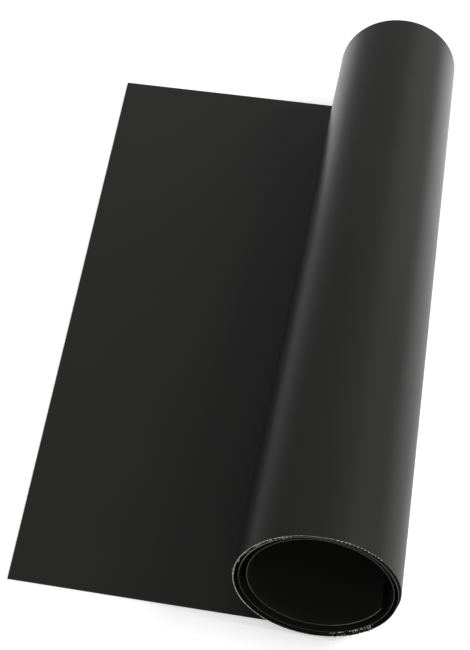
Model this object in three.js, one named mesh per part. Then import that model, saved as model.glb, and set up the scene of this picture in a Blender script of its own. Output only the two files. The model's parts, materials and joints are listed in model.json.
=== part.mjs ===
// Barbecue grill mat, half unrolled: one coated glass-cloth sheet that lies flat at its free end
// and is wound into a loose open roll at the other. The sheet is divided along straight fold lines.
// The strips left of the roll curl up about their folds and wrap round it, and the strips of the
// roll's outer half turn open about theirs and lay the roll further along the ground.
// Millimetres. X runs along the sheet towards the roll, Y along the roll's axis, Z up.
import * as THREE from 'three';

// Sheet
const SHEET_WIDTH = 500;
const SHEET_THICKNESS = 0.5;
// Free end to the line where the roll touches the ground, measured on the near side
const FLAT_LENGTH = 175;
// How much farther out the free end lies on the far side
const FREE_END_SLANT = 48;

// Roll
const ROLL_DIAMETER = 91;
// Step from one turn to the next where the turns lie closest
const TURN_PITCH = 1.2;
// Radius that the second and the third turn lose besides, so that they sag away on one side
const SECOND_TURN_DROP = 1.5;
const THIRD_TURN_DROP = 2.7;
// Direction in which the turns lie closest, in degrees from straight down, round the right side
const CLOSEST_ANGLE = 170;
// Degrees that the sheet winds through from the ground to its inner end
const WINDING_ANGLE = 1150;
// How far the roll's turns stand out of the near edge, gained over the first half turn
const ROLL_SHIFT = 5.5;
// Degrees between the cross lines that shape the smooth turns
const WINDING_STEP = 6;

// Folds
const FOLDS_PER_HALF_TURN = 9;
const FOLD_GAP = 0.32;
// Room between the roll and the strips that wrap round it
const WRAP_CLEARANCE = 1.2;
// Least length of the free end beyond the last fold
const LEAST_FREE_END = 20;

const COATING = new THREE.MeshStandardMaterial({
  color: 0x2a2a29,
  roughness: 0.5,
  metalness: 0,
  flatShading: true,
});

const fullTurn = 2 * Math.PI;
const foldAngle = Math.PI / FOLDS_PER_HALF_TURN;
const radians = THREE.MathUtils.degToRad;

/** Radius of the sheet's upper face where it has wound through an angle. */
function windingRadius(angle) {
  const turns = angle / fullTurn;
  const closest = CLOSEST_ANGLE / 360;
  const drops = [SECOND_TURN_DROP, THIRD_TURN_DROP].filter((drop, index) => turns > index + 1 + closest);
  const dropped = drops.reduce((sum, drop) => sum + drop, 0);
  return ROLL_DIAMETER / 2 - SHEET_THICKNESS - TURN_PITCH * turns - dropped;
}

/** How far the sheet's sides have moved along Y where it has wound through an angle. */
function sideShift(angle) {
  return -ROLL_SHIFT * Math.min(1, angle / Math.PI);
}

/** Half the width of a strip whose middle touches the wound curve at an angle. */
function halfStrip(angle) {
  return windingRadius(angle) * Math.tan(foldAngle / 2);
}

/** Cross line that lies further along the sheet, which runs straight on in its direction. */
function further(line, distance) {
  return {
    ...line,
    x: line.x + distance * Math.cos(line.angle),
    z: line.z + distance * Math.sin(line.angle),
  };
}

/** Corners of the sheet's section on a cross line: near upper, near lower, far lower, far upper. */
function sectionCorners({ x, z, angle, shift = 0, slant = 0 }) {
  const lowerX = x + SHEET_THICKNESS * Math.sin(angle);
  const lowerZ = z - SHEET_THICKNESS * Math.cos(angle);
  const near = shift - SHEET_WIDTH / 2;
  const far = shift + SHEET_WIDTH / 2;
  return [
    [x, near, z],
    [lowerX, near, lowerZ],
    [lowerX - slant, far, lowerZ],
    [x - slant, far, z],
  ];
}

/** Closed body of the sheet between the first and the last of a row of cross lines. */
function sheetBody(name, lines) {
  const sides = 4;
  const end = sides * (lines.length - 1);
  const quads = [
    [0, 3, 2, 1],
    [end, end + 1, end + 2, end + 3],
  ];
  for (let start = 0; start < end; start += sides) {
    for (let side = 0; side < sides; side += 1) {
      const next = (side + 1) % sides;
      quads.push([start + side, start + next, start + sides + next, start + sides + side]);
    }
  }
  const geometry = new THREE.BufferGeometry();
  const positions = lines.flatMap((line) => sectionCorners(line).flat());
  geometry.setAttribute('position', new THREE.Float32BufferAttribute(positions, 3));
  geometry.setIndex(quads.flatMap(([a, b, c, d]) => [a, b, c, a, c, d]));
  geometry.computeVertexNormals();
  const mesh = new THREE.Mesh(geometry, COATING);
  mesh.name = name;
  return mesh;
}

/** Straight strip between two folds, which it leaves half of the gap to. */
function strip(name, line, length, endShift = line.shift) {
  const start = further(line, FOLD_GAP / 2);
  const end = { ...further(line, length - FOLD_GAP / 2), shift: endShift };
  return sheetBody(name, [start, end]);
}

/** Name of a numbered strip. */
function numbered(word, index) {
  return `${word}_${String(index).padStart(2, '0')}`;
}

/** Strips that lie on the ground, from the one under the roll out to the free end. */
function groundStrips() {
  const wrapHalf = (ROLL_DIAMETER / 2 + WRAP_CLEARANCE) * Math.tan(foldAngle / 2);
  const wrapStrip = 2 * wrapHalf;
  const flatCount = Math.floor((FLAT_LENGTH - wrapHalf - LEAST_FREE_END) / wrapStrip);
  const ground = { x: -wrapHalf, z: SHEET_THICKNESS, angle: 0, shift: 0 };
  const strips = [strip('ground_strip', ground, wrapHalf + halfStrip(foldAngle / 2))];
  for (let index = 1; index <= flatCount; index += 1) {
    strips.push(strip(numbered('flat_strip', index), further(ground, -index * wrapStrip), wrapStrip));
  }
  const lastFold = further(ground, -flatCount * wrapStrip - FOLD_GAP / 2);
  const freeEnd = { ...lastFold, x: -FLAT_LENGTH, slant: FREE_END_SLANT };
  strips.push(sheetBody('free_end', [freeEnd, lastFold]));
  return strips;
}

/** Folds of the roll's outer half turn, each with the strip that follows it. */
function rollFolds() {
  const folds = [];
  let line = { x: halfStrip(foldAngle / 2), z: SHEET_THICKNESS, angle: foldAngle };
  for (let index = 1; index < FOLDS_PER_HALF_TURN; index += 1) {
    const length = halfStrip(line.angle - foldAngle / 2) + halfStrip(line.angle + foldAngle / 2);
    const start = { ...line, shift: sideShift(line.angle - foldAngle / 2) };
    folds.push({ line: start, length, endShift: sideShift(line.angle + foldAngle / 2) });
    line = { ...further(line, length), angle: line.angle + foldAngle };
  }
  return { folds, lastFold: { ...line, shift: sideShift(line.angle - foldAngle / 2) } };
}

/** Cross lines of the turns inside, from the last fold at the top to the inner end. */
function innerTurns(lastFold) {
  const start = lastFold.angle;
  const steps = Math.ceil((radians(WINDING_ANGLE) - start) / radians(WINDING_STEP));
  const step = (radians(WINDING_ANGLE) - start) / steps;
  let line = { ...further(lastFold, halfStrip(start - foldAngle / 2)), shift: sideShift(start) };
  const lines = [further(lastFold, FOLD_GAP / 2), line];
  for (let index = 1; index <= steps; index += 1) {
    const middle = start + (index - 0.5) * step;
    const chord = 2 * windingRadius(middle) * Math.sin(step / 2);
    const angle = start + index * step;
    line = { ...further({ ...line, angle: middle }, chord), angle, shift: sideShift(angle) };
    lines.push(line);
  }
  return lines;
}

/** Least distance from the upper face of one turn to the lower face of the next turn inside. */
function leastTurnGap(lines) {
  const upper = lines.map(({ x, z, angle }) => ({ x, z, angle }));
  const lower = lines.map((line) => {
    const [, [x, , z]] = sectionCorners(line);
    return { x, z, angle: line.angle };
  });
  let least = Infinity;
  upper.forEach((a) => {
    lower.forEach((b) => {
      if (b.angle - a.angle > Math.PI) {
        least = Math.min(least, Math.hypot(a.x - b.x, a.z - b.z));
      }
    });
  });
  return least;
}

const { folds, lastFold } = rollFolds();
const turnLines = innerTurns(lastFold);
const part = new THREE.Group();
part.name = 'grill_mat';
part.add(...groundStrips());
folds.forEach(({ line, length, endShift }, index) => {
  part.add(strip(numbered('roll_strip', index + 1), line, length, endShift));
});
part.add(sheetBody('inner_roll', turnLines));

// The origin is below the middle of the whole mat, on the ground
const box = new THREE.Box3().setFromObject(part);
const middle = box.getCenter(new THREE.Vector3());
part.children.forEach((mesh) => mesh.geometry.translate(-middle.x, -middle.y, -box.min.z));

// Cross lines along the whole wound stretch, from where the roll touches the ground
const stripShares = [0, 0.25, 0.5, 0.75];
const outerLines = folds.flatMap(({ line, length }) => {
  return stripShares.map((share) => further(line, share * length));
});
const woundLines = [{ x: 0, z: SHEET_THICKNESS, angle: 0 }, ...outerLines, ...turnLines];
const woundLength = woundLines.slice(1).reduce((sum, line, index) => {
  return sum + Math.hypot(line.x - woundLines[index].x, line.z - woundLines[index].z);
}, 0);
console.log(`least gap between turns ${leastTurnGap(woundLines).toFixed(3)} mm`);
console.log(`sheet length along the near side ${(FLAT_LENGTH + woundLength).toFixed(1)} mm`);

export default part;
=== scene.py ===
"""Looks of a barbecue grill mat, a coated glass-cloth sheet with one end flat and one rolled up."""

import json
import logging
import math
import random
from dataclasses import dataclass
from enum import Enum, IntEnum

import bmesh
import bpy
from mathutils import Matrix, Vector

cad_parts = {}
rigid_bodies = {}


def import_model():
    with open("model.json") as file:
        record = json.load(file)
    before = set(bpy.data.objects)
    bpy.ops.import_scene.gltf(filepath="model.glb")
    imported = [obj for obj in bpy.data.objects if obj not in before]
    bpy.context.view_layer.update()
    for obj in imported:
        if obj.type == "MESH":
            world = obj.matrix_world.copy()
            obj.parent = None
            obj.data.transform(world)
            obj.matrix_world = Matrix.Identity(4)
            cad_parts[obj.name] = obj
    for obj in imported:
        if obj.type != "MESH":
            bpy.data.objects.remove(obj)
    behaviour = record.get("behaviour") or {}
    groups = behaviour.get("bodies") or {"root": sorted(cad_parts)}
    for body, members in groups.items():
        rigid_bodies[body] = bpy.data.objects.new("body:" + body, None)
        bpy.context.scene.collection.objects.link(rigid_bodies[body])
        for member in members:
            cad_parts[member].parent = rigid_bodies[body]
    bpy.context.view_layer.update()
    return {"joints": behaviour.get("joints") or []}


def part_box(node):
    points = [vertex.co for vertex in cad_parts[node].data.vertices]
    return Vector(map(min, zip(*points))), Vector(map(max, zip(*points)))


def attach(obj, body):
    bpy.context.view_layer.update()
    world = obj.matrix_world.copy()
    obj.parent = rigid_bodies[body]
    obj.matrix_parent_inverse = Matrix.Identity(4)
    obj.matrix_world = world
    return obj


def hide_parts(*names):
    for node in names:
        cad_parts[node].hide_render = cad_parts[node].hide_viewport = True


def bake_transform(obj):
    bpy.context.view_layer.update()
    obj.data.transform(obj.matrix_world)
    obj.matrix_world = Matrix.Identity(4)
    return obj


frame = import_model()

CLOTH_UV = "cloth"
EDGE_UV = "edge"
LOG = logging.getLogger("grill_mat")


def linear(code: str) -> tuple[float, float, float, float]:
    """Turns an sRGB hex colour to linear.

    Args:
        code: Six hex digits, such as "2a2a29".

    Returns:
        Red, green, blue and an alpha of 1.
    """
    parts = [int(code[i:i + 2], 16) / 255 for i in (0, 2, 4)]
    red, green, blue = (c / 12.92 if c <= 0.04045 else ((c + 0.055) / 1.055) ** 2.4 for c in parts)
    return (red, green, blue, 1.0)


def add_node(
    tree: bpy.types.NodeTree,
    kind: str,
    options: dict[str, object] | None = None,
    values: dict[str | int, object] | None = None,
    links: dict[str | int, bpy.types.NodeSocket] | None = None,
    stops: tuple[tuple[float, float], ...] = (),
) -> bpy.types.Node:
    """Adds a node with its settings and links.

    Args:
        tree: Node tree that the node goes in.
        kind: The node type's identifier.
        options: Properties of the node by name.
        values: Values of input sockets by name or number.
        links: Output sockets to join to input sockets by name or number.
        stops: Places from 0 to 1 on a ramp, each with its grey level.

    Returns:
        The new node.
    """
    node = tree.nodes.new(kind)
    for name, value in (options or {}).items():
        setattr(node, name, value)
    for name, value in (values or {}).items():
        node.inputs[name].default_value = value
    for name, socket in (links or {}).items():
        tree.links.new(socket, node.inputs[name])
    if stops:
        elements = node.color_ramp.elements
        elements.remove(elements[-1])
        for index, (position, level) in enumerate(stops):
            element = elements.new(position) if index else elements[0]
            element.position = position
            element.color = (level, level, level, 1.0)
    return node


def empty_material(name: str) -> tuple[bpy.types.Material, bpy.types.NodeTree]:
    """Makes a material with no nodes.

    Args:
        name: Name of the material.

    Returns:
        The material and its node tree.
    """
    material = bpy.data.materials.new(name)
    material.use_nodes = True
    material.node_tree.nodes.clear()
    return material, material.node_tree


def seen_rays(tree: bpy.types.NodeTree) -> tuple[bpy.types.NodeSocket, bpy.types.NodeSocket]:
    """Adds nodes that tell the rays which see the background.

    Args:
        tree: Node tree of a material or of the world.

    Returns:
        An output that is 1 for camera rays, and one that is 1 for glossy and transmission rays.
    """
    path = add_node(tree, "ShaderNodeLightPath").outputs
    mirrored = add_node(
        tree,
        "ShaderNodeMath",
        {"operation": "MAXIMUM"},
        links={0: path["Is Glossy Ray"], 1: path["Is Transmission Ray"]},
    ).outputs[0]
    return path["Is Camera Ray"], mirrored


class ColourMix(IntEnum):
    """Sockets of a mix node for colours, by number because their names repeat."""

    FACTOR = 0
    RESULT = 2
    FIRST = 6
    SECOND = 7


class Finish(IntEnum):
    """Material slots of the sheet's pieces."""

    COATING = 0
    CUT_EDGE = 1
    YARN_END = 2
    LOOSE_YARN = 3


class Corner(IntEnum):
    """Corners of the sheet's section on a cross line, in order."""

    NEAR_UPPER = 0
    NEAR_LOWER = 1
    FAR_LOWER = 2
    FAR_UPPER = 3


class Lean(IntEnum):
    """Ways for loose yarns to leave the edge."""

    UP = 1
    DOWN = -1


class Side(Enum):
    """Sides of the sheet, by the upper and the lower corner that the cut edge lies between."""

    NEAR = (Corner.NEAR_UPPER, Corner.NEAR_LOWER)
    FAR = (Corner.FAR_UPPER, Corner.FAR_LOWER)


@dataclass(frozen=True)
class CoatedClothFinish:
    """Black fluoropolymer coating baked on woven glass cloth, with its sizes in metres.

    Smooth and semi-matte: a soft sheen that brightens at a flat angle, and a trace of the weave
    close up.
    """

    colour: str = "1a1a19"
    paler: str = "1e1e1d"
    ior: float = 1.36
    specular: float = 0.2
    roughness: tuple[float, float] = (0.33, 0.36)
    yarn_pitch: float = 0.0010
    relief_height: float = 0.000012
    relief_strength: float = 0.5
    cloud_width: float = 0.060
    cloud_detail: float = 3.0
    # Part of the clouds' noise over which the roughness changes
    cloud_range: tuple[float, float] = (0.3, 0.7)
    grain_width: float = 0.0022
    grain_detail: float = 2.0

    def build(self) -> bpy.types.Material:
        """Builds the material.

        Returns:
            The coated cloth's material.
        """
        material, tree = empty_material("ptfe_coated_glass_cloth")
        place = add_node(tree, "ShaderNodeUVMap", {"uv_map": CLOTH_UV}).outputs["UV"]
        cloud = add_node(
            tree,
            "ShaderNodeTexNoise",
            values={"Scale": 1 / self.cloud_width, "Detail": self.cloud_detail},
            links={"Vector": place},
        ).outputs["Fac"]
        grain = add_node(
            tree,
            "ShaderNodeTexNoise",
            values={"Scale": 1 / self.grain_width, "Detail": self.grain_detail},
            links={"Vector": place},
        ).outputs["Fac"]
        tone = add_node(
            tree,
            "ShaderNodeMix",
            {"data_type": "RGBA"},
            {ColourMix.FIRST: linear(self.colour), ColourMix.SECOND: linear(self.paler)},
            {ColourMix.FACTOR: cloud},
        ).outputs[ColourMix.RESULT]
        gloss = add_node(
            tree,
            "ShaderNodeMapRange",
            values={
                "From Min": self.cloud_range[0],
                "From Max": self.cloud_range[1],
                "To Min": self.roughness[0],
                "To Max": self.roughness[1],
            },
            links={"Value": cloud},
        ).outputs["Result"]
        # The yarns of a plain weave rise by turns, once per pitch along and across the sheet
        turned = add_node(
            tree,
            "ShaderNodeVectorMath",
            {"operation": "SCALE"},
            {"Scale": math.pi / self.yarn_pitch},
            {0: place},
        ).outputs["Vector"]
        waves = add_node(
            tree, "ShaderNodeVectorMath", {"operation": "SINE"}, links={0: turned}
        ).outputs["Vector"]
        split = add_node(tree, "ShaderNodeSeparateXYZ", links={0: waves}).outputs
        weave = add_node(
            tree, "ShaderNodeMath", {"operation": "MULTIPLY"}, links={0: split["X"], 1: split["Y"]}
        ).outputs[0]
        relief = add_node(
            tree, "ShaderNodeMath", {"operation": "ADD"}, links={0: weave, 1: grain}
        ).outputs[0]
        bump = add_node(
            tree,
            "ShaderNodeBump",
            values={"Strength": self.relief_strength, "Distance": self.relief_height},
            links={"Height": relief},
        ).outputs["Normal"]
        shader = add_node(
            tree,
            "ShaderNodeBsdfPrincipled",
            values={"IOR": self.ior, "Specular IOR Level": self.specular},
            links={"Base Color": tone, "Roughness": gloss, "Normal": bump},
        ).outputs["BSDF"]
        add_node(tree, "ShaderNodeOutputMaterial", links={"Surface": shader})
        return material


@dataclass(frozen=True)
class CutEdgeFinish:
    """Glass cloth cut through, with its sizes in metres.

    Pale glass yarns lie in the middle, and the black coating along both borders. Along the wound
    length the glass is paler as painted light where light falls on the outer turn's edge, and
    dimmer as painted shade on the turns inside. Along the flat stretch the edge stays as dark as
    the coating.
    """

    glass: str = "b4b2ac"
    coating: str = "161616"
    core_share: float = 0.80
    # Cut yarns lie under a millimetre apart, and are drawn at a spacing that shows as beads
    yarn_pitch: float = 0.0022
    patch_width: float = 0.030
    noise_detail: float = 1.0
    # Part of the summed noise over which the yarns change, and how pale they then are
    noise_range: tuple[float, float] = (0.7, 1.3)
    paleness: tuple[float, float] = (0.3, 1.0)
    wound_length: float = 0.84
    # How pale the glass is along the wound length: painted light on the outer turn's lit edge,
    # painted shade on the turns inside
    painted_light_stops: tuple[tuple[float, float], ...] = (
        (0.03, 0.05),
        (0.08, 0.30),
        (0.17, 0.50),
        (0.21, 0.90),
        (0.31, 0.90),
        (0.345, 0.05),
        (0.480, 0.08),
        (0.508, 0.22),
        (0.533, 0.45),
        (0.556, 0.18),
        (0.575, 0.05),
        (0.78, 0.07),
        (0.93, 0.10),
        (0.96, 0.28),
        (0.98, 0.18),
    )
    roughness: float = 0.62
    specular: float = 0.1

    def build(self) -> bpy.types.Material:
        """Builds the material.

        Returns:
            The cut edge's material.
        """
        material, tree = empty_material("cut_glass_cloth_edge")
        place = add_node(tree, "ShaderNodeUVMap", {"uv_map": EDGE_UV}).outputs["UV"]
        split = add_node(tree, "ShaderNodeSeparateXYZ", links={0: place}).outputs
        yarns, patches = (
            add_node(
                tree,
                "ShaderNodeTexNoise",
                {"noise_dimensions": "1D"},
                {"Scale": 1 / width, "Detail": self.noise_detail},
                {"W": split["X"]},
            ).outputs["Fac"]
            for width in (self.yarn_pitch, self.patch_width)
        )
        from_middle = add_node(
            tree, "ShaderNodeMath", {"operation": "SUBTRACT"}, {1: 0.5}, {0: split["Y"]}
        ).outputs[0]
        depth = add_node(
            tree, "ShaderNodeMath", {"operation": "ABSOLUTE"}, links={0: from_middle}
        ).outputs[0]
        in_core = add_node(
            tree, "ShaderNodeMath", {"operation": "LESS_THAN"}, {1: self.core_share / 2}, {0: depth}
        ).outputs[0]
        uneven = add_node(
            tree, "ShaderNodeMath", {"operation": "ADD"}, links={0: yarns, 1: patches}
        ).outputs[0]
        pale = add_node(
            tree,
            "ShaderNodeMapRange",
            values={
                "From Min": self.noise_range[0],
                "From Max": self.noise_range[1],
                "To Min": self.paleness[0],
                "To Max": self.paleness[1],
            },
            links={"Value": uneven},
        ).outputs["Result"]
        # Painted light and shade along the wound length: pale where light falls on the outer turn's
        # cut edge, dimmer on the turns inside where shade falls
        wound = add_node(
            tree, "ShaderNodeMath", {"operation": "DIVIDE"}, {1: self.wound_length}, {0: split["X"]}
        ).outputs[0]
        painted_light_share = add_node(
            tree, "ShaderNodeValToRGB", links={0: wound}, stops=self.painted_light_stops
        ).outputs["Color"]
        # The painted light and shade, times the yarns' own uneven paleness
        bare = add_node(
            tree, "ShaderNodeMath", {"operation": "MULTIPLY"}, links={0: painted_light_share, 1: pale}
        ).outputs[0]
        share = add_node(
            tree, "ShaderNodeMath", {"operation": "MULTIPLY"}, links={0: in_core, 1: bare}
        ).outputs[0]
        tone = add_node(
            tree,
            "ShaderNodeMix",
            {"data_type": "RGBA"},
            {ColourMix.FIRST: linear(self.coating), ColourMix.SECOND: linear(self.glass)},
            {ColourMix.FACTOR: share},
        ).outputs[ColourMix.RESULT]
        shader = add_node(
            tree,
            "ShaderNodeBsdfPrincipled",
            values={"Roughness": self.roughness, "Specular IOR Level": self.specular},
            links={"Base Color": tone},
        ).outputs["BSDF"]
        add_node(tree, "ShaderNodeOutputMaterial", links={"Surface": shader})
        return material


@dataclass(frozen=True)
class YarnFinish:
    """Bare glass yarn: off-white, matt from fine filaments, uneven where coating clings to it.

    Sizes are in metres.
    """

    name: str = "bare_glass_yarn"
    glass: str = "c9c7c1"
    stained: str = "6a6965"
    stain_width: float = 0.004
    stain_detail: float = 2.0
    # Part of the stain's noise over which coating gives way to bare glass
    stain_range: tuple[float, float] = (0.0, 1.0)
    roughness: float = 0.7

    def build(self) -> bpy.types.Material:
        """Builds the material.

        Returns:
            The bare yarn's material.
        """
        material, tree = empty_material(self.name)
        place = add_node(tree, "ShaderNodeTexCoord").outputs["Object"]
        stain = add_node(
            tree,
            "ShaderNodeTexNoise",
            values={"Scale": 1 / self.stain_width, "Detail": self.stain_detail},
            links={"Vector": place},
        ).outputs["Fac"]
        bare = add_node(
            tree,
            "ShaderNodeMapRange",
            values={"From Min": self.stain_range[0], "From Max": self.stain_range[1]},
            links={"Value": stain},
        ).outputs["Result"]
        tone = add_node(
            tree,
            "ShaderNodeMix",
            {"data_type": "RGBA"},
            {ColourMix.FIRST: linear(self.stained), ColourMix.SECOND: linear(self.glass)},
            {ColourMix.FACTOR: bare},
        ).outputs[ColourMix.RESULT]
        shader = add_node(
            tree,
            "ShaderNodeBsdfPrincipled",
            values={"Roughness": self.roughness},
            links={"Base Color": tone},
        ).outputs["BSDF"]
        add_node(tree, "ShaderNodeOutputMaterial", links={"Surface": shader})
        return material


@dataclass(frozen=True)
class Glow:
    """Brightness added to the floor round a centre, in metres.

    Attributes:
        centre: Middle of the round area.
        reach: Distances from the centre at which the brightness starts and stops changing.
        levels: Brightness within the first distance and beyond the last.
    """

    centre: tuple[float, float, float]
    reach: tuple[float, float]
    levels: tuple[float, float]


@dataclass(frozen=True)
class FloorFinish:
    """White matt studio paper that keeps shadows.

    Light is added to it for the eye and in mirror-like surfaces.
    """

    paper: str = "f4f4f4"
    # For the eye, more is added far from the mat, where the lamps don't reach
    seen: Glow = Glow(centre=(0.0, 0.0, 0.0), reach=(0.75, 2.0), levels=(0.30, 0.65))
    # In mirror-like surfaces the paper is brightest behind the mat, and dimmer away from there
    mirrored: Glow = Glow(centre=(0.10, 0.70, 0.0), reach=(0.35, 0.85), levels=(1.0, 0.1))

    def build(self) -> bpy.types.Material:
        """Builds the material.

        Returns:
            The floor's material.
        """
        material, tree = empty_material("white_studio_paper")
        place = add_node(tree, "ShaderNodeTexCoord").outputs["Object"]
        added = []
        for rays, glow in zip(seen_rays(tree), (self.seen, self.mirrored)):
            away = add_node(
                tree,
                "ShaderNodeVectorMath",
                {"operation": "DISTANCE"},
                {1: glow.centre},
                {0: place},
            ).outputs["Value"]
            level = add_node(
                tree,
                "ShaderNodeMapRange",
                {"interpolation_type": "SMOOTHSTEP"},
                {
                    "From Min": glow.reach[0],
                    "From Max": glow.reach[1],
                    "To Min": glow.levels[0],
                    "To Max": glow.levels[1],
                },
                {"Value": away},
            ).outputs["Result"]
            share = add_node(
                tree, "ShaderNodeMath", {"operation": "MULTIPLY"}, links={0: level, 1: rays}
            )
            added.append(share.outputs[0])
        strength = add_node(
            tree, "ShaderNodeMath", {"operation": "ADD"}, links={0: added[0], 1: added[1]}
        ).outputs[0]
        paper = add_node(
            tree, "ShaderNodeBsdfDiffuse", values={"Color": linear(self.paper)}
        ).outputs["BSDF"]
        light = add_node(
            tree, "ShaderNodeEmission", links={"Strength": strength}
        ).outputs["Emission"]
        both = add_node(tree, "ShaderNodeAddShader", links={0: paper, 1: light}).outputs["Shader"]
        add_node(tree, "ShaderNodeOutputMaterial", links={"Surface": both})
        return material


@dataclass(frozen=True)
class CrossLine:
    """A straight line across the sheet's upper face, in metres.

    Attributes:
        x: Place along the ground.
        z: Height.
        angle: Direction in which the sheet runs on, in radians from +X towards +Z.
        along: Distance along the sheet from where the roll touches the ground.
        shift: How far the sheet's sides have moved along Y.
        slant: How much farther back the line's far end lies.
    """

    x: float
    z: float
    angle: float = 0.0
    along: float = 0.0
    shift: float = 0.0
    slant: float = 0.0


@dataclass(frozen=True)
class MatCut:
    """Sizes of the sheet and of its winding, in metres and degrees."""

    width: float = 0.500
    thickness: float = 0.0005
    flat_length: float = 0.175
    end_slant: float = 0.048
    roll_diameter: float = 0.091
    turn_pitch: float = 0.0012
    turn_drops: tuple[float, float] = (0.0015, 0.0027)
    closest_angle: float = 170.0
    winding_angle: float = 1150.0
    side_shift: float = 0.0055
    shift_angle: float = 180.0
    fold_angle: float = 20.0

    def radius(self, degrees: float) -> float:
        """Works out the radius of the upper face where the sheet has wound through an angle.

        Args:
            degrees: Angle from where the roll touches the ground.

        Returns:
            The radius.
        """
        turns = degrees / 360
        passed = [
            drop
            for index, drop in enumerate(self.turn_drops)
            if turns > index + 1 + self.closest_angle / 360
        ]
        return self.roll_diameter / 2 - self.thickness - self.turn_pitch * turns - sum(passed)


class Winding:
    """The sheet's course: flat along the ground, then wound up into the roll."""

    # Degrees between the points of the wound course
    STEP = 0.25

    def __init__(self, cut: MatCut, touch_x: float) -> None:
        """Lays out the wound course in small steps.

        Args:
            cut: Sizes of the sheet.
            touch_x: Where the roll touches the ground.
        """
        self.cut = cut
        self.touch_x = touch_x
        x, z, along = touch_x, cut.thickness, 0.0
        self.course = [(x, z, along)]
        for index in range(math.ceil(cut.winding_angle / self.STEP)):
            middle = (index + 0.5) * self.STEP
            chord = 2 * cut.radius(middle) * math.sin(math.radians(self.STEP) / 2)
            x += chord * math.cos(math.radians(middle))
            z += chord * math.sin(math.radians(middle))
            along += chord
            self.course.append((x, z, along))

    def flat(self, x: float, slant: float = 0.0) -> CrossLine:
        """Gives a cross line on the flat stretch.

        Args:
            x: Place of the line's near end.
            slant: How much farther back its far end lies.

        Returns:
            The cross line.
        """
        return CrossLine(x, self.cut.thickness, 0.0, x - self.touch_x, 0.0, slant)

    def wound(self, degrees: float) -> CrossLine:
        """Gives a cross line on the roll.

        Args:
            degrees: Angle that the sheet has wound through.

        Returns:
            The cross line.
        """
        place = min(degrees / self.STEP, len(self.course) - 1)
        low = min(int(place), len(self.course) - 2)
        share = place - low
        x, z, along = (a + (b - a) * share for a, b in zip(self.course[low], self.course[low + 1]))
        shift = -self.cut.side_shift * min(1.0, degrees / self.cut.shift_angle)
        return CrossLine(x, z, math.radians(degrees), along, shift)


def spaced(count: int, tip: float = 0.004) -> list[float]:
    """Spaces out shares from 0 to 1.

    One more lies close to each end, so that shading runs on over a seam.

    Args:
        count: Number of even steps.
        tip: Share of a step that the outermost ones take up.

    Returns:
        The shares in order.
    """
    even = [i / count for i in range(count + 1)]
    return [even[0], tip / count, *even[1:-1], 1 - tip / count, even[-1]]


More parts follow.
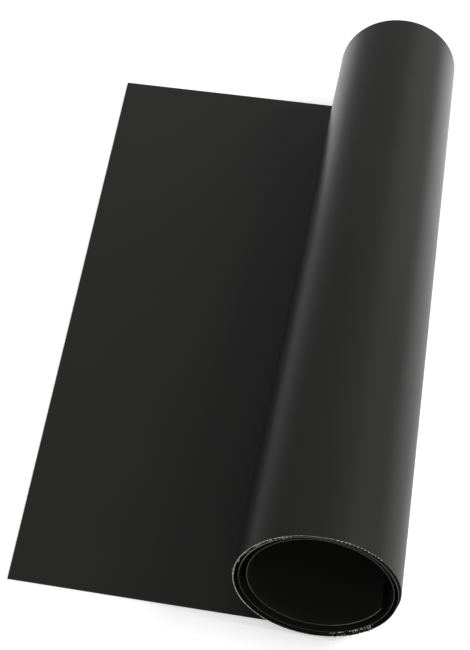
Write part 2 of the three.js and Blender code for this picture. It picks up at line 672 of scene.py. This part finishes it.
class SheetPiece:
    """One stretch of the sheet as a closed body, with its cut edges and yarn ends."""

    CROSS_CUTS = 15
    SHARP = math.radians(35)

    def __init__(self, name: str, cut: MatCut, lines: list[CrossLine], middle_y: float) -> None:
        """Sweeps the sheet's section along cross lines.

        Args:
            name: Name of the piece.
            cut: Sizes of the sheet.
            lines: Cross lines from one end of the piece to the other.
            middle_y: Middle of the flat stretch along Y.
        """
        self.name = name
        self.cut = cut
        self.lines = lines
        self.middle_y = middle_y
        self.mesh = bmesh.new()
        self.cloth_uv = self.mesh.loops.layers.uv.new(CLOTH_UV)
        self.edge_uv = self.mesh.loops.layers.uv.new(EDGE_UV)
        self._sweep()

    def corners(self, line: CrossLine) -> list[Vector]:
        """Gives the section's corners on a cross line.

        Args:
            line: The cross line.

        Returns:
            The corners, in the order of Corner.
        """
        low = Vector((math.sin(line.angle), 0.0, -math.cos(line.angle))) * self.cut.thickness
        near = Vector((line.x, self.middle_y + line.shift - self.cut.width / 2, line.z))
        far = near + Vector((-line.slant, self.cut.width, 0.0))
        return [near, near + low, far + low, far]

    def _sweep(self) -> None:
        """Extrudes the section from line to line, then divides the sheet across its width."""
        points = self.corners(self.lines[0])
        ring = [self.mesh.verts.new(p) for p in points]
        face = self.mesh.faces.new(ring)
        known = {v: (Corner(i), self.lines[0]) for i, v in enumerate(ring)}
        inside = []
        for line in self.lines[1:]:
            made = bmesh.ops.extrude_face_region(self.mesh, geom=[face])["geom"]
            fresh = [g for g in made if isinstance(g, bmesh.types.BMVert)]
            next_ring = [min(fresh, key=lambda v, p=p: (v.co - p).length_squared) for p in points]
            points = self.corners(line)
            for index, (vert, point) in enumerate(zip(next_ring, points)):
                vert.co = point
                known[vert] = (Corner(index), line)
            inside.append(face)
            face = next(g for g in made if isinstance(g, bmesh.types.BMFace))
        hidden = [f for f in inside[1:] if f.is_valid]
        bmesh.ops.delete(self.mesh, geom=hidden, context="FACES_ONLY")
        bmesh.ops.recalc_face_normals(self.mesh, faces=self.mesh.faces[:])
        for face in self.mesh.faces:
            self._lay_out(face, known)
        across = [
            e
            for e in self.mesh.edges
            if abs(e.verts[0].co.y - e.verts[1].co.y) > self.cut.width / 2
        ]
        bmesh.ops.subdivide_edges(self.mesh, edges=across, cuts=self.CROSS_CUTS, use_grid_fill=True)
        for edge in self.mesh.edges:
            edge.smooth = edge.calc_face_angle(math.pi) < self.SHARP

    def _lay_out(
        self, face: bmesh.types.BMFace, known: dict[bmesh.types.BMVert, tuple[Corner, CrossLine]]
    ) -> None:
        """Gives a face its finish and its place on the sheet in metres.

        Args:
            face: Face with a corner of the section at each vertex.
            known: Corner and cross line of each vertex.
        """
        corners = {known[v][0] for v in face.verts}
        along_side = any(corners == set(side.value) for side in Side)
        face.material_index = Finish.CUT_EDGE if along_side else Finish.COATING
        face.smooth = True
        for loop in face.loops:
            corner, line = known[loop.vert]
            far = corner in (Corner.FAR_LOWER, Corner.FAR_UPPER)
            low = corner in (Corner.NEAR_LOWER, Corner.FAR_LOWER)
            along = line.along - (line.slant if far else 0.0)
            across = self.cut.width if far else 0.0
            loop[self.cloth_uv].uv = (along, across)
            loop[self.edge_uv].uv = (along, 1.0 if low else 0.0)

    def join(self, loose: bmesh.types.BMesh) -> None:
        """Adds a small mesh to the piece's own and frees it.

        Args:
            loose: Mesh of what stands out of the piece.
        """
        data = bpy.data.meshes.new(self.name + "_loose")
        loose.to_mesh(data)
        loose.free()
        self.mesh.from_mesh(data)
        bpy.data.meshes.remove(data)

    def dress(self, materials: list[bpy.types.Material]) -> bpy.types.Object:
        """Makes the object and gives it its finishes.

        Args:
            materials: Materials in the order of Finish.

        Returns:
            The piece's object, in place.
        """
        data = bpy.data.meshes.new(self.name)
        self.mesh.to_mesh(data)
        self.mesh.free()
        for material in materials:
            data.materials.append(material)
        piece = bpy.data.objects.new(self.name, data)
        bpy.context.scene.collection.objects.link(piece)
        LOG.info("%s: %d faces", self.name, len(data.polygons))
        return piece


@dataclass(frozen=True)
class YarnEnds:
    """Ends of the cut yarns, which stand out of the sheet's cut edges as small beads, in metres."""

    # Cut yarns lie under a millimetre apart, and are drawn at a spacing that shows as beads
    pitch: float = 0.0022
    length: float = 0.0007
    breadth: float = 0.0014
    height: float = 0.00060
    # Stretches of the wound length where the edge has frayed
    stretches: tuple[tuple[float, float], ...] = ((0.105, 0.132), (0.160, 0.275))
    size: tuple[float, float] = (0.55, 1.0)
    # Seed of yarn number 0, from which the others count on
    seed: int = 700021

    def place(self, piece: SheetPiece, point: Vector, out: Vector, up: Vector, size: float) -> None:
        """Adds one yarn end to a piece.

        Args:
            piece: Piece whose edge the yarn stands out of.
            point: Middle of the yarn end.
            out: Unit direction out of the edge.
            up: Unit direction across the sheet's thickness.
            size: Share of the full size.
        """
        turn = Matrix((out.cross(up), out, up)).transposed().to_4x4()
        stretch = Matrix.Diagonal((self.breadth * size, self.length * size, self.height, 1.0))
        made = bmesh.ops.create_icosphere(
            piece.mesh,
            subdivisions=1,
            radius=0.5,
            matrix=Matrix.Translation(point) @ turn @ stretch,
        )
        for face in {f for v in made["verts"] for f in v.link_faces}:
            face.material_index = Finish.YARN_END
            face.smooth = True

    def add(self, piece: SheetPiece) -> None:
        """Adds the yarn ends along both sides of a piece.

        Args:
            piece: Piece that the yarn ends go on.
        """
        for start, end in zip(piece.lines, piece.lines[1:]):
            low, high = sorted((start.along, end.along))
            for number in range(math.ceil(low / self.pitch), math.ceil(high / self.pitch)):
                if any(first <= number * self.pitch <= last for first, last in self.stretches):
                    self._pair(piece, start, end, number)

    def _pair(self, piece: SheetPiece, start: CrossLine, end: CrossLine, number: int) -> None:
        """Adds one yarn's ends on the near and the far side.

        Args:
            piece: Piece that the yarn ends go on.
            start: Cross line before them.
            end: Cross line after them.
            number: Number of the yarn, counted from where the roll touches the ground.
        """
        draw = random.Random(self.seed + number)
        share = (number * self.pitch - start.along) / (end.along - start.along)
        points = [a.lerp(b, share) for a, b in zip(piece.corners(start), piece.corners(end))]
        for side in Side:
            upper, lower = side.value
            away = -1.0 if side is Side.NEAR else 1.0
            up = (points[upper] - points[lower]).normalized()
            middle = (points[upper] + points[lower]) / 2
            self.place(piece, middle, Vector((0.0, away, 0.0)), up, draw.uniform(*self.size))


@dataclass(frozen=True)
class FrayedYarns:
    """Loose glass yarns out of the near edge on a stretch of one turn, in metres and degrees."""

    # Angles at which the stretch starts and ends
    first: float
    last: float
    lean: Lean
    seed: int
    count: int = 48
    length: tuple[float, float] = (0.0007, 0.0021)
    radius: float = 0.00018
    sides: int = 4
    tip_share: float = 0.55
    # How far a yarn starts out of the edge, against up to 1 along it and up to 1 up or down
    outward: float = 0.5
    bends: int = 3
    bend: float = 0.45
    least_height: float = 0.0004

    def add(self, piece: SheetPiece, winding: Winding) -> None:
        """Adds the yarns to a piece.

        Args:
            piece: Piece whose near edge has frayed.
            winding: The sheet's course.
        """
        draw = random.Random(self.seed)
        tuft = bmesh.new()
        for _ in range(self.count):
            corners = piece.corners(winding.wound(draw.uniform(self.first, self.last)))
            root = (corners[Corner.NEAR_UPPER] + corners[Corner.NEAR_LOWER]) / 2
            aside, lift = draw.uniform(-1.0, 1.0), draw.uniform(0.0, 1.0)
            heading = Vector((aside, -self.outward, self.lean * lift))
            self._grow(tuft, root, heading.normalized(), draw)
        piece.join(tuft)

    def _grow(
        self, mesh: bmesh.types.BMesh, root: Vector, heading: Vector, draw: random.Random
    ) -> None:
        """Grows one yarn from its root in short bent steps.

        Args:
            mesh: Mesh that the yarn goes in.
            root: Where it leaves the edge.
            heading: Unit direction in which it starts.
            draw: Source of chance for this yarn.
        """
        step = draw.uniform(*self.length) / self.bends
        turn = heading.to_track_quat("Z", "Y").to_matrix().to_4x4()
        ring = bmesh.ops.create_circle(
            mesh,
            cap_ends=True,
            segments=self.sides,
            radius=self.radius,
            matrix=Matrix.Translation(root) @ turn,
        )["verts"]
        face = ring[0].link_faces[0]
        made = {face}
        middle = root
        for index in range(self.bends):
            wobble = Vector([draw.uniform(-self.bend, self.bend) for _ in range(3)])
            heading = (heading + wobble).normalized()
            move = heading * step
            move.z = max(move.z, self.least_height - middle.z)
            fresh = bmesh.ops.extrude_face_region(mesh, geom=[face])["geom"]
            verts = [g for g in fresh if isinstance(g, bmesh.types.BMVert)]
            if index:
                bmesh.ops.delete(mesh, geom=[face], context="FACES_ONLY")
            face = next(g for g in fresh if isinstance(g, bmesh.types.BMFace))
            middle = middle + move
            bmesh.ops.translate(mesh, verts=verts, vec=move)
            for vert in verts:
                vert.co = middle + (vert.co - middle) * self.tip_share ** (1 / self.bends)
            made |= {f for v in verts for f in v.link_faces}
        yarn = [f for f in made if f.is_valid]
        bmesh.ops.recalc_face_normals(mesh, faces=yarn)
        for face in yarn:
            face.material_index = Finish.LOOSE_YARN
            face.smooth = True


class GrillMat:
    """The whole mat: its flat stretch, a bend piece over each curl and unroll fold, and the turns
    inside.
    """

    BEND_STEPS = 20
    # Degrees between the cross lines of the turns inside
    TURN_STEP = 2.0
    # Low down on the second and the third turn, and as finer fuzz high up on the outer one
    FRAYED = (
        FrayedYarns(first=374.0, last=410.0, lean=Lean.UP, seed=14),
        FrayedYarns(first=735.0, last=771.0, lean=Lean.DOWN, seed=15),
        FrayedYarns(
            first=196.0,
            last=268.0,
            lean=Lean.DOWN,
            seed=13,
            count=150,
            length=(0.0006, 0.0015),
            radius=0.00009,
        ),
    )

    def __init__(self, cut: MatCut) -> None:
        """Reads where the folds are and lays out the sheet's course.

        Args:
            cut: Sizes of the sheet.
        """
        self.cut = cut
        self.joints = {joint["name"]: joint for joint in frame["joints"]}
        low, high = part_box("ground_strip")
        self.middle_y = (low.y + high.y) / 2
        half_fold = cut.fold_angle / 2
        half_strip = cut.radius(half_fold) * math.tan(math.radians(half_fold))
        self.winding = Winding(cut, self.joints["unroll_01"]["pos_m"][0] - half_strip)
        self.yarn_ends = YarnEnds()
        loose_yarn = YarnFinish(
            name="loose_glass_yarn",
            glass="dddbd5",
            stained="191918",
            stain_width=0.0010,
            stain_range=(0.46, 0.58),
        )
        finishes = (CoatedClothFinish(), CutEdgeFinish(), YarnFinish(), loose_yarn)
        self.materials = [finish.build() for finish in finishes]

    def _named(self, word: str) -> list[dict]:
        """Gives the joints whose name starts with a word, in order."""
        return [self.joints[name] for name in sorted(self.joints) if name.startswith(word)]

    def _make(
        self,
        name: str,
        lines: list[CrossLine],
        frayed: tuple[FrayedYarns, ...] = (),
    ) -> bpy.types.Object:
        """Args:
            name: Name of the piece.
            lines: Cross lines from one end to the other.
            frayed: Stretches of loose yarns at its near edge.

        Returns:
            The piece's object.
        """
        sheet = SheetPiece(name, self.cut, lines, self.middle_y)
        self.yarn_ends.add(sheet)
        for yarns in frayed:
            yarns.add(sheet, self.winding)
        piece = sheet.dress(self.materials)
        return piece

    def _bend(self, fold: dict, lines: list[CrossLine], flat_length: float) -> None:
        """Makes the piece that lies over a fold.

        Args:
            fold: Joint that the sheet bends at.
            lines: Cross lines from one end to the other.
            flat_length: Length that the piece was cut to; not used.
        """
        piece = self._make(fold["name"] + "_bend", lines)
        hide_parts(fold["child"], fold["parent"])
        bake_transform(piece)

    def build_flat(self) -> None:
        """Builds the flat stretch: a bend over each curl fold, then the free end."""
        folds = self._named("curl")
        shares = spaced(self.BEND_STEPS)
        middles = [self.winding.touch_x]
        for fold, further in zip(folds, folds[1:]):
            middles.append((fold["pos_m"][0] + further["pos_m"][0]) / 2)
        middles.append(2 * folds[-1]["pos_m"][0] - middles[-1])
        for fold, start, end in zip(folds, middles, middles[1:]):
            lines = [self.winding.flat(start + (end - start) * share) for share in shares]
            self._bend(fold, lines, start - end)
        free_x = self.winding.touch_x - self.cut.flat_length
        free_edge = self.winding.flat(free_x, self.cut.end_slant)
        inner_edge = self.winding.flat(middles[-1])
        lines = [self._between(inner_edge, free_edge, share) for share in shares]
        panel = self._make("free_end_panel", lines)
        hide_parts("free_end")
        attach(panel, "free_end")

    def _between(self, start: CrossLine, end: CrossLine, share: float) -> CrossLine:
        """Gives a flat cross line part of the way from one to another."""
        return self.winding.flat(start.x + (end.x - start.x) * share, end.slant * share)

    def build_roll(self) -> None:
        """Builds the roll: a bend over each unroll fold, then the turns inside as one stretch."""
        fold_angle = self.cut.fold_angle
        folds = self._named("unroll")
        shares = spaced(self.BEND_STEPS)
        for index, fold in enumerate(folds):
            lines = [self.winding.wound(fold_angle * (index + share)) for share in shares]
            self._bend(fold, lines, lines[-1].along - lines[0].along)
        start = fold_angle * len(folds)
        sweep = self.cut.winding_angle - start
        shares = spaced(round(sweep / self.TURN_STEP))
        lines = [self.winding.wound(start + sweep * share) for share in shares]
        turns = self._make("inner_turns", lines, frayed=self.FRAYED)
        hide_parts("inner_roll")
        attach(turns, "inner_roll")


@dataclass(frozen=True)
class PhotoCamera:
    """The photograph's camera: place in metres, directions in degrees.

    The picture and the focal length are in pixels, and the sensor is in millimetres.
    """

    picture: tuple[int, int] = (470, 650)
    focal: float = 1313.4
    place: tuple[float, float, float] = (0.10719, -0.65542, 0.62819)
    azimuth: float = -9.118
    elevation: float = 44.231
    roll: float = 1.254
    sensor: float = 36.0

    def build(self) -> bpy.types.Object:
        """Builds the camera and makes it the scene's.

        Returns:
            The camera.
        """
        az, el, roll = (math.radians(d) for d in (self.azimuth, self.elevation, self.roll))
        ahead = Vector((math.sin(az) * math.cos(el), math.cos(az) * math.cos(el), -math.sin(el)))
        right = Vector((math.cos(az), -math.sin(az), 0.0))
        up = right.cross(ahead)
        across = right * math.cos(roll) + up * math.sin(roll)
        upward = up * math.cos(roll) - right * math.sin(roll)
        data = bpy.data.cameras.new("photo_camera")
        data.sensor_width = self.sensor
        data.lens = self.focal / max(self.picture) * self.sensor
        camera = bpy.data.objects.new("photo_camera", data)
        turn = Matrix((across, upward, -ahead)).transposed().to_4x4()
        camera.matrix_world = Matrix.Translation(Vector(self.place)) @ turn
        bpy.context.scene.collection.objects.link(camera)
        bpy.context.scene.camera = camera
        return camera


@dataclass(frozen=True)
class Softbox:
    """A square studio lamp with a soft front, in metres and watts."""

    name: str
    place: tuple[float, float, float]
    size: float
    power: float
    aim: tuple[float, float, float] = (0.0, 0.0, 0.02)
    # Whether the lamp's front shows in mirror-like surfaces
    mirrored: bool = True

    def build(self) -> bpy.types.Object:
        """Builds the lamp.

        Returns:
            The lamp.
        """
        data = bpy.data.lights.new(self.name, "AREA")
        data.shape = "SQUARE"
        data.size = self.size
        data.energy = self.power
        lamp = bpy.data.objects.new(self.name, data)
        lamp.location = self.place
        lamp.visible_glossy = self.mirrored
        ahead = Vector(self.aim) - Vector(self.place)
        lamp.rotation_euler = ahead.to_track_quat("-Z", "Y").to_euler()
        bpy.context.scene.collection.objects.link(lamp)
        return lamp


@dataclass(frozen=True)
class Studio:
    """White paper floor, soft light from all round and three softboxes, in metres."""

    floor_size: float = 12.0
    floor_drop: float = 0.0003
    # Brightness of the room as it lights surfaces, and as the eye sees it
    ambient: float = 0.45
    backdrop: float = 1.0
    # The same by height in mirror-like surfaces: pale low down, dimmer walls and a lit ceiling
    levels: tuple[tuple[float, float], ...] = ((0.0, 0.75), (0.5, 0.52), (0.68, 0.88))
    softboxes: tuple[Softbox, ...] = (
        Softbox(name="key_softbox", place=(1.25, 0.05, 1.15), size=0.9, power=23.0),
        Softbox(name="back_softbox", place=(0.78, 1.25, 0.75), size=0.8, power=1.6),
        Softbox(
            name="fill_softbox", place=(0.15, -1.30, 0.55), size=0.7, power=7.0, mirrored=False
        ),
    )

    def build(self) -> None:
        """Builds the floor, the world and the lamps."""
        self._floor()
        self._world()
        for softbox in self.softboxes:
            softbox.build()
        bpy.context.scene.view_settings.view_transform = "Standard"

    def _floor(self) -> None:
        """Lays the floor just below the mat."""
        mesh = bmesh.new()
        bmesh.ops.create_grid(
            mesh,
            x_segments=1,
            y_segments=1,
            size=self.floor_size / 2,
            matrix=Matrix.Translation((0.0, 0.0, -self.floor_drop)),
        )
        data = bpy.data.meshes.new("studio_floor")
        mesh.to_mesh(data)
        mesh.free()
        data.materials.append(FloorFinish().build())
        floor = bpy.data.objects.new("studio_floor", data)
        bpy.context.scene.collection.objects.link(floor)

    def _world(self) -> None:
        """Lights the room evenly.

        The eye sees a white backdrop, and mirror-like surfaces see the room's own levels.
        """
        world = bpy.data.worlds.new("white_room")
        world.use_nodes = True
        tree = world.node_tree
        tree.nodes.clear()
        toward = add_node(tree, "ShaderNodeTexCoord").outputs["Generated"]
        height = add_node(tree, "ShaderNodeSeparateXYZ", links={0: toward}).outputs["Z"]
        room = add_node(
            tree, "ShaderNodeValToRGB", links={0: height}, stops=self.levels
        ).outputs["Color"]
        direct, mirrored = seen_rays(tree)
        unmirrored = add_node(
            tree,
            "ShaderNodeMapRange",
            values={"To Min": self.ambient, "To Max": self.backdrop},
            links={"Value": direct},
        ).outputs["Result"]
        level = add_node(
            tree,
            "ShaderNodeMapRange",
            links={"Value": mirrored, "To Min": unmirrored, "To Max": room},
        ).outputs["Result"]
        light = add_node(
            tree,
            "ShaderNodeBackground",
            values={"Color": linear("ffffff")},
            links={"Strength": level},
        ).outputs["Background"]
        add_node(tree, "ShaderNodeOutputWorld", links={"Surface": light})
        bpy.context.scene.world = world


def main() -> None:
    """Builds the mat, the studio and the camera."""
    logging.basicConfig(level=logging.INFO, format="%(name)s: %(message)s")
    mat = GrillMat(MatCut())
    mat.build_flat()
    mat.build_roll()
    Studio().build()
    PhotoCamera().build()


if __name__ == "__main__":
    main()
